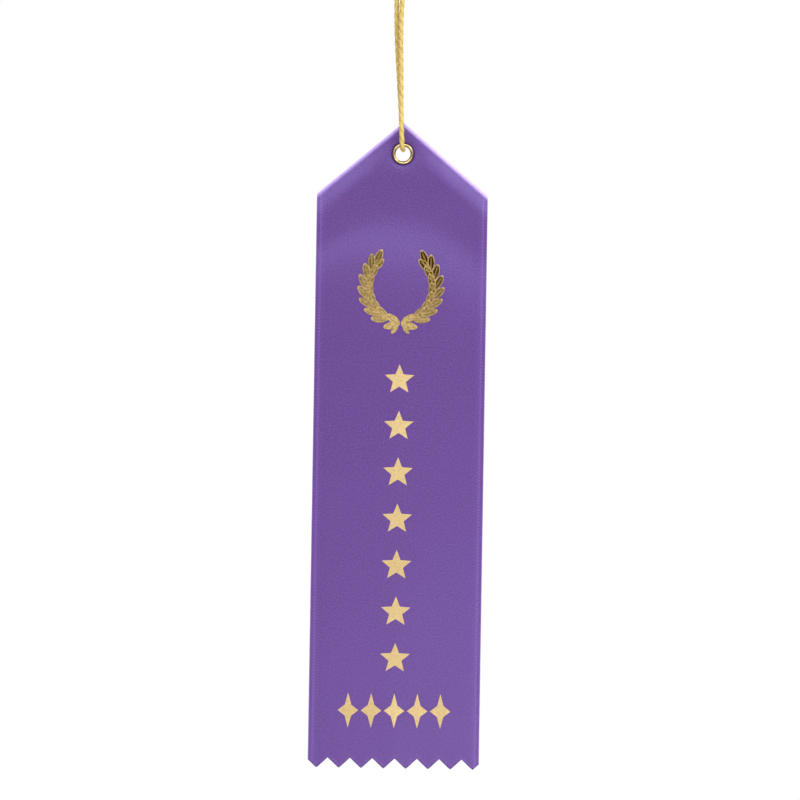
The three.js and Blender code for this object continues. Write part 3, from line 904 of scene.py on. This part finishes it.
def make_card():
    """Backing card, peaked under the flaps; its free end curls slightly away from the satin."""
    half = CARD_HIGH[0]
    bottom = CARD_LOW[2]
    slope = math.tan(PEAK_SLOPE)
    flat_y, curl, wave = 0.07, 0.5, 0.05
    ruled_margin, ruled_top, ruled_bottom = 3.2, 107, 156
    share, x = np.meshgrid(np.linspace(0, 1, 91), np.linspace(-half, half, 49), indexing="ij")
    top = CARD_TOP - CARD_TRIM - np.abs(x) * slope
    z = top + (bottom - top) * share
    free = smoothstep(-z, -CARD_HINGE[2] / MM, -bottom)
    y = flat_y + curl * free**2 + wave * np.sin(x / 9) * free
    ruled = smoothstep(half - np.abs(x), ruled_margin, ruled_margin + 0.6)
    ruled = ruled * smoothstep(-z, ruled_top, ruled_top + 1)
    ruled = ruled * (1 - smoothstep(-z, ruled_bottom, ruled_bottom + 1))
    points = np.dstack([x, y, z]).reshape(-1, 3)
    card = make_mesh("backing_card", points, grid_faces(*x.shape), card_material(), points[:, [0, 2]],
                     {"ruled": ruled.ravel()})
    clean(card)
    punch_eyelet_hole(card)
    thicken(card, CARD_THICKNESS)
    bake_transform(card)
    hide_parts("card_head", "card_leaf")


# ---- Eyelet ----


def arc(centre, radii, start, end, steps):
    """Points on an ellipse arc, as (radius, y) pairs; angles in degrees."""
    turn = np.radians(np.linspace(start, end, steps))
    return [(centre[0] + radii[0] * math.cos(t), centre[1] + radii[1] * math.sin(t)) for t in turn]


def eyelet_profile():
    """Section of the eyelet as (radius, y) pairs, round from the dome of its front flange."""
    seat = -EYELET_LOW[1] - 0.5
    mouth = EYELET_BORE + EYELET_FLARE
    front_mid = (EYELET_RADIUS + mouth) / 2
    front_half = (EYELET_RADIUS - mouth) / 2
    back_mid = (EYELET_RADIUS + EYELET_BORE) / 2
    back_half = (EYELET_RADIUS - EYELET_BORE) / 2
    wall = EYELET_BARREL - EYELET_BORE
    dome = np.sin(np.linspace(-math.pi / 2, math.pi / 2, 30))
    rise = 0.45 * (1 - np.abs(dome) ** 2.3) ** 0.5
    profile = list(zip(front_mid + front_half * dome, 0.05 - seat - rise))
    profile += arc((EYELET_RADIUS - 0.09, 0.05 - seat), (0.09, 0.1), 10, 100, 5)
    profile += [(back_mid, 0.04 - seat), (EYELET_BARREL + 0.1, 0.06 - seat)]
    profile += [(EYELET_BARREL, 0.2 - seat), (EYELET_BARREL, 0), (EYELET_BARREL, seat - 0.25)]
    profile += arc((back_mid + 0.02, seat - 0.02), (back_half - wall, 0.2), 180, 0, 10)[1:]
    profile += arc((back_mid, seat), (back_half, 0.42), -10, 180, 20)[1:]
    for k in range(3, -4, -1):
        profile.append((EYELET_BORE + EYELET_FLARE * float(smoothstep(-k, 0, 4)), seat * k / 4))
    return profile, seat


def make_eyelet():
    """One-piece eyelet: domed front flange with a rolled rim, barrel, and a scalloped roll behind."""
    around = 120
    petals = 8
    notch_inward, notch_forward = 0.22, 0.1
    profile, seat = eyelet_profile()
    radius, y = np.array(profile).T[..., None]
    turn = 2 * np.pi * np.arange(around) / around
    behind = smoothstep(y, seat - 0.1, seat + 0.1) * smoothstep(radius, EYELET_BARREL, EYELET_RADIUS)
    notch = behind * np.abs(np.cos(petals * turn / 2)) ** 10
    reach = radius - notch_inward * notch
    points = np.dstack([reach * np.cos(turn), y - notch_forward * notch,
                        EYELET_Z + reach * np.sin(turn)])
    faces = grid_faces(len(profile), around, closed=True)
    # The last ring joins the first.
    last = (len(profile) - 1) * around
    for k in range(around):
        faces.append((last + k, last + (k + 1) % around, (k + 1) % around, k))
    eyelet = make_mesh("brass_eyelet", points.reshape(-1, 3), faces, brass_material())
    clean(eyelet, weld=0.001)
    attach(eyelet, "head")
    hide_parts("eyelet")


# ---- Foil print ----

FOIL_SUNK = 0.05
PLATE_HEIGHT = 0.035
STAR_WAIST = 0.44
POINTS_PER_SIDE = 4


def star_outline(point_count, width, height):
    """Outline of a star with several points along each side and sharp tips."""
    corners = []
    for i in range(2 * point_count):
        turn = math.pi / 2 + math.pi * i / point_count
        reach = 1 if i % 2 == 0 else STAR_WAIST
        corners.append((width * reach * math.cos(turn), height * reach * math.sin(turn)))
    corners = np.array(corners)
    following = np.roll(corners, -1, axis=0)
    share = np.arange(POINTS_PER_SIDE)[:, None] / POINTS_PER_SIDE
    return np.vstack([a + (b - a) * share for a, b in zip(corners, following)])


def stamped_star(name, centre, outline, material, tone):
    """Thin foil plate with a soft edge, pressed onto the satin's face."""
    rings = [(share, PLATE_HEIGHT) for share in (0.02, 0.3, 0.6, 0.84, 0.93)]
    rings += [(0.985, 0.033), (1.0, 0.02), (1.0, -FOIL_SUNK)]
    points, rim = [], []
    for share, height in rings:
        points.append(on_satin(*(np.array(centre) + outline * share).T, height))
        rim += [float(share > 0.9)] * len(outline)
    points.append(on_satin(*np.array([centre, centre]).T, np.array([PLATE_HEIGHT, -FOIL_SUNK])))
    rim += [0.0, 0.0]
    points = np.vstack(points)
    made = make_mesh(name, points, fan_tube_faces(len(rings), len(outline), 0), material,
                     points[:, [0, 2]], {"rim": rim, "tone": np.full(len(points), tone)})
    clean(made)
    return made


def make_print(material):
    """Column of stars and row of lozenges."""
    low, high = box_mm("star_1")
    star_radius = (high[2] - low[2]) / (1 + math.cos(math.pi / 5))
    star = star_outline(5, star_radius, star_radius)
    low, high = box_mm("lozenge_1")
    half_width, _, half_height = (high - low) / 2
    lozenge = star_outline(4, half_width, half_height)
    rng = np.random.default_rng(5)
    prints = ("star", 7, star, star_radius), ("lozenge", 5, lozenge, half_height)
    for kind, count, outline, reach in prints:
        for number in range(1, count + 1):
            node = f"{kind}_{number}"
            low, high = box_mm(node)
            centre = ((low[0] + high[0]) / 2, high[2] - reach)
            piece = stamped_star(f"foil_{node}", centre, outline, material, rng.uniform(0.5, 0.9))
            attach(piece, "tail")
            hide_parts(node)


# Laurel branch, in the wreath's own x and z; its stem is a cubic Bezier curve, and a size is the
# length and width of a leaf.
STEM = [(0.35, -9.6), (8.6, -7.6), (12.6, 0.6), (7.8, 7.8)]
STEM_WIDTH = 0.6
STEM_HEIGHT = 0.05
LEAF_PAIRS = 8
LEAF_SIZE = (5.1, 2.3)
OUTER_SPLAY = math.radians(26)
INNER_SPLAY = math.radians(20)
TIP_SPLAY = math.radians(10)
STUB_FOOT = (0.75, -9.8)
STUB_SIZE = (3.3, 1.5)
STUB_HEADING = math.radians(-56)
STUB_LIFT = 0.02
WREATH_DEPTH = 50.4
LEAF_STEPS = 22
LEAF_ACROSS = 17
LEAF_LIFT = 0.07
INNER_LIFT = 0.012
# The lowest pair sits beside the stem's foot, and the others a little up from their even share.
FOOT_SHIFT = 0.2
PAIR_SHIFT = 0.3


def leaf_surface(length, width, lift, tilt):
    """Blunt leaf along +x with a raised rim and a midrib: x, across, height and rim of each point."""
    a, b = np.meshgrid(np.linspace(0, 1, LEAF_STEPS), np.linspace(-1, 1, LEAF_ACROSS), indexing="ij")
    half = np.maximum(np.sin(np.pi * a) ** 0.55 * width / 2, 0.02)
    side = b * half
    inward = np.minimum((1 - np.abs(b)) * half, (1 - a) * length * 0.5)
    rim = 1 - smoothstep(inward, 0.2, 0.34)
    rib = bell(side, 0, 0.16) * smoothstep(a, 0.02, 0.12) * (1 - smoothstep(a, 0.7, 0.95))
    veins = 0.5 + 0.5 * np.cos(2 * np.pi * (a * 6 - np.abs(b) * 1.1))
    body = 0.05 - 0.03 * smoothstep(np.abs(b), 0.1, 0.6) + 0.01 * veins
    height = lift + body * (1 - rim) + 0.085 * rim + 0.025 * rib + tilt * side
    fall = smoothstep(np.abs(b), 0.9, 1.0)
    height = height * (1 - fall) - 0.5 * FOIL_SUNK * fall
    return a * length, side, height, np.maximum(rim, 0.6 * rib)


def add_stem(table, faces, centre_z, tone, side):
    """Adds the branch's stem as a thin closed band along its curve."""
    steps = 40
    shoulder = STEM_HEIGHT * 0.6
    section = [(-1, -FOIL_SUNK), (-1, shoulder), (0, STEM_HEIGHT), (1, shoulder), (1, -FOIL_SUNK)]
    faces += tube_faces(steps + 1, len(section), 0)
    rows = []
    for i in range(steps + 1):
        place, heading = stem_at(i / steps)
        half = STEM_WIDTH / 2 * (1 - 0.5 * i / steps)
        for across, up in section:
            x = side * (place[0] - across * half * math.sin(heading))
            z = centre_z + place[1] + across * half * math.cos(heading)
            rows.append([*on_satin(x, z, up), 0.4, tone])
    table.append(np.array(rows))


def add_leaf(table, faces, place, heading, size, lift, tilt, tone, side):
    """Adds one closed leaf to the rows of the branch's table and to its faces."""
    x, across, height, rim = leaf_surface(*size, lift, tilt)
    cos, sin = math.cos(heading), math.sin(heading)
    px = side * (place[0] + x * cos - across * sin)
    pz = place[1] + x * sin + across * cos
    first = sum(len(part) for part in table)
    painted_reflection_tones = np.full(rim.shape, tone)
    for up, edge in ((height, rim), (-FOIL_SUNK, 0 * rim)):
        table.append(np.dstack([on_satin(px, pz, up), edge, painted_reflection_tones]).reshape(-1, 5))
    front = grid_faces(LEAF_STEPS, LEAF_ACROSS, first)
    faces += front
    faces += [tuple(v + rim.size for v in f[::-1]) for f in front]
    # Round the leaf: its foot, one side, its tip and back down the other side.
    grid = first + np.arange(rim.size).reshape(rim.shape)
    border = [*grid[0], *grid[1:, -1], *grid[-1, -2::-1], *grid[-2:0:-1, 0]]
    for a, b in zip(border, border[1:] + border[:1]):
        faces.append((b, a, a + rim.size, b + rim.size))


def stem_at(share):
    """Place and heading on the branch's stem at a share of its length."""
    t = np.linspace(0, 1, 201)[:, None]
    a, b, c, d = np.array(STEM)
    line = (1 - t) ** 3 * a + 3 * (1 - t) ** 2 * t * b + 3 * (1 - t) * t**2 * c + t**3 * d
    along = lengths_along(line)
    here = np.array([np.interp(share * along[-1], along, line[:, k]) for k in (0, 1)])
    slope = np.array([np.interp(share * along[-1], along, np.gradient(line[:, k])) for k in (0, 1)])
    return here, math.atan2(slope[1], slope[0])


def wreath_branch(name, node, side, material, painted_reflection_tones, seed):
    """Laurel branch: overlapping leaf pairs along a stem, a leaf at its tip and a cut stub below.

    The tones are the foil's painted brightness at the foot and at the tip of the branch: a painted
    reflection, darker towards the tip and darker on the right branch.
    """
    rng = np.random.default_rng(seed)
    centre_z = APEX_Z - WREATH_DEPTH
    # The table's rows are place, rim and tone of every point.
    table, faces = [], []

    def leaf(place, heading, size, lift, share):
        # Painted reflection: brightness runs from foot to tip along the branch, with a random tone for
        # each leaf.
        tone = painted_reflection_tones[0] + (painted_reflection_tones[1] - painted_reflection_tones[0]) * share**0.7 + rng.uniform(-0.08, 0.08)
        add_leaf(table, faces, (place[0], centre_z + place[1]), heading, size, lift,
                 rng.uniform(-0.02, 0.02), tone, side)

    add_stem(table, faces, centre_z, sum(painted_reflection_tones) / 2, side)
    tip, heading = stem_at(1)
    leaf(tip, heading - TIP_SPLAY, LEAF_SIZE, 0.0, 1)
    for i in reversed(range(LEAF_PAIRS)):
        share = (i + PAIR_SHIFT * min(i, 1)) / LEAF_PAIRS
        place, heading = stem_at(share)
        if i == 0:
            place = place - np.array([FOOT_SHIFT, 0])
        lift = LEAF_LIFT * (1 - i / LEAF_PAIRS)
        leaf(place, heading - OUTER_SPLAY, LEAF_SIZE, lift, share)
        leaf(place, heading + INNER_SPLAY, LEAF_SIZE, lift + INNER_LIFT, share)
    leaf(STUB_FOOT, STUB_HEADING, STUB_SIZE, STUB_LIFT, 0)
    table = np.vstack(table)
    made = make_mesh(name, table[:, :3], faces, material, table[:, [0, 2]],
                     {"rim": table[:, 3], "tone": table[:, 4]})
    clean(made)
    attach(made, "head")
    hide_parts(node)


# ---- Studio ----

FLOOR_Z = -0.34
FLOOR_RADIUS = 0.62
LIGHT_AIM = Vector((0, 0, -0.15))
# Name, place and width in metres, and power in watts of each round light.
LIGHTS = [
    ("key", (1.0, -1.1, 0.8), 0.2, 28),
    ("sheen", (0.02, -1.7, 0.42), 0.2, 17),
    ("fill", (-1.1, -1.6, -0.2), 1.2, 0.5),
    ("foot", (0.1, -0.75, -0.3), 0.2, 1.4),
    ("upper_right", (0.95, 0.1, 0.95), 0.8, 16),
    ("upper_left", (-0.95, 0.1, 0.95), 0.8, 16),
    ("front_left", (-0.8, -0.95, 0.9), 0.5, 6),
    ("back", (0.6, 1.5, 0.5), 1.0, 4),
]


def make_floor():
    """Plain white disc well below the ribbon."""
    bm = bmesh.new()
    bmesh.ops.create_circle(bm, cap_ends=True, radius=FLOOR_RADIUS, segments=96)
    mesh = bpy.data.meshes.new("floor")
    bm.to_mesh(mesh)
    bm.free()
    floor = bpy.data.objects.new("floor", mesh)
    floor.location.z = FLOOR_Z
    bpy.context.scene.collection.objects.link(floor)
    look = Finish("floor", Roughness=0.9, Base_Color=(0.9, 0.9, 0.9, 1),
                  Emission_Color=(1, 1, 1, 1), Emission_Strength=0.25)
    mesh.materials.append(look.material)


def make_lights():
    for name, place, size, power in LIGHTS:
        data = bpy.data.lights.new(name, "AREA")
        data.shape = "DISK"
        data.size = size
        data.energy = power
        light = bpy.data.objects.new(name, data)
        light.location = place
        light.rotation_euler = (LIGHT_AIM - Vector(place)).to_track_quat("-Z", "Y").to_euler()
        light.visible_camera = False
        bpy.context.scene.collection.objects.link(light)


def make_world():
    """White surround for the camera; what lights the ribbon is grey, and dimmest overhead."""
    world = bpy.data.worlds.new("studio")
    world.use_nodes = True
    bpy.context.scene.world = world
    shown = world.node_tree.nodes["Background"]
    shown.inputs["Color"].default_value = (1, 1, 1, 1)
    nodes = Nodes(world.node_tree)
    upward = nodes.node("SeparateXYZ", nodes.node("TexCoord").outputs["Generated"]).outputs["Z"]
    lift = nodes.node("MapRange", sockets={"Value": upward, "From Min": -1})
    ramp = nodes.node("ValToRGB", lift.outputs["Result"])
    stops = ramp.color_ramp.elements
    stops[0].color = (0.28, 0.28, 0.3, 1)
    stops[1].color = (0.2, 0.2, 0.22, 1)
    stops.new(0.5).color = (0.3, 0.3, 0.32, 1)
    lit = nodes.node("Background", ramp.outputs["Color"])
    seen = nodes.node("LightPath").outputs["Is Camera Ray"]
    both = nodes.node("MixShader", seen, lit.outputs[0], shown.outputs[0])
    nodes.feed(world.node_tree.nodes["World Output"].inputs["Surface"], both.outputs[0])


# ---- Assembly ----

make_camera()
make_cord()
make_satin(satin_material())
make_card()
make_eyelet()
make_print(foil_material("foil_pale", srgb(185, 165, 124), srgb(148, 127, 84), srgb(170, 148, 104),
                         0.52, 0.66, 0.6))
wreath_foil = foil_material("foil_bright", srgb(169, 147, 100), srgb(40, 25, 1), srgb(149, 126, 78),
                            0.38, 0.58, 0.55)
# The wreath's tones at foot and tip are painted reflection: both branches darken towards the tip, the
# right one more.
wreath_branch("foil_wreath_right", "wreath_right", 1, wreath_foil, (0.85, -0.1), 21)
wreath_branch("foil_wreath_left", "wreath_left", -1, wreath_foil, (1.0, 0.25), 34)
make_world()
make_floor()
make_lights()
bpy.context.scene.view_settings.view_transform = "Standard"
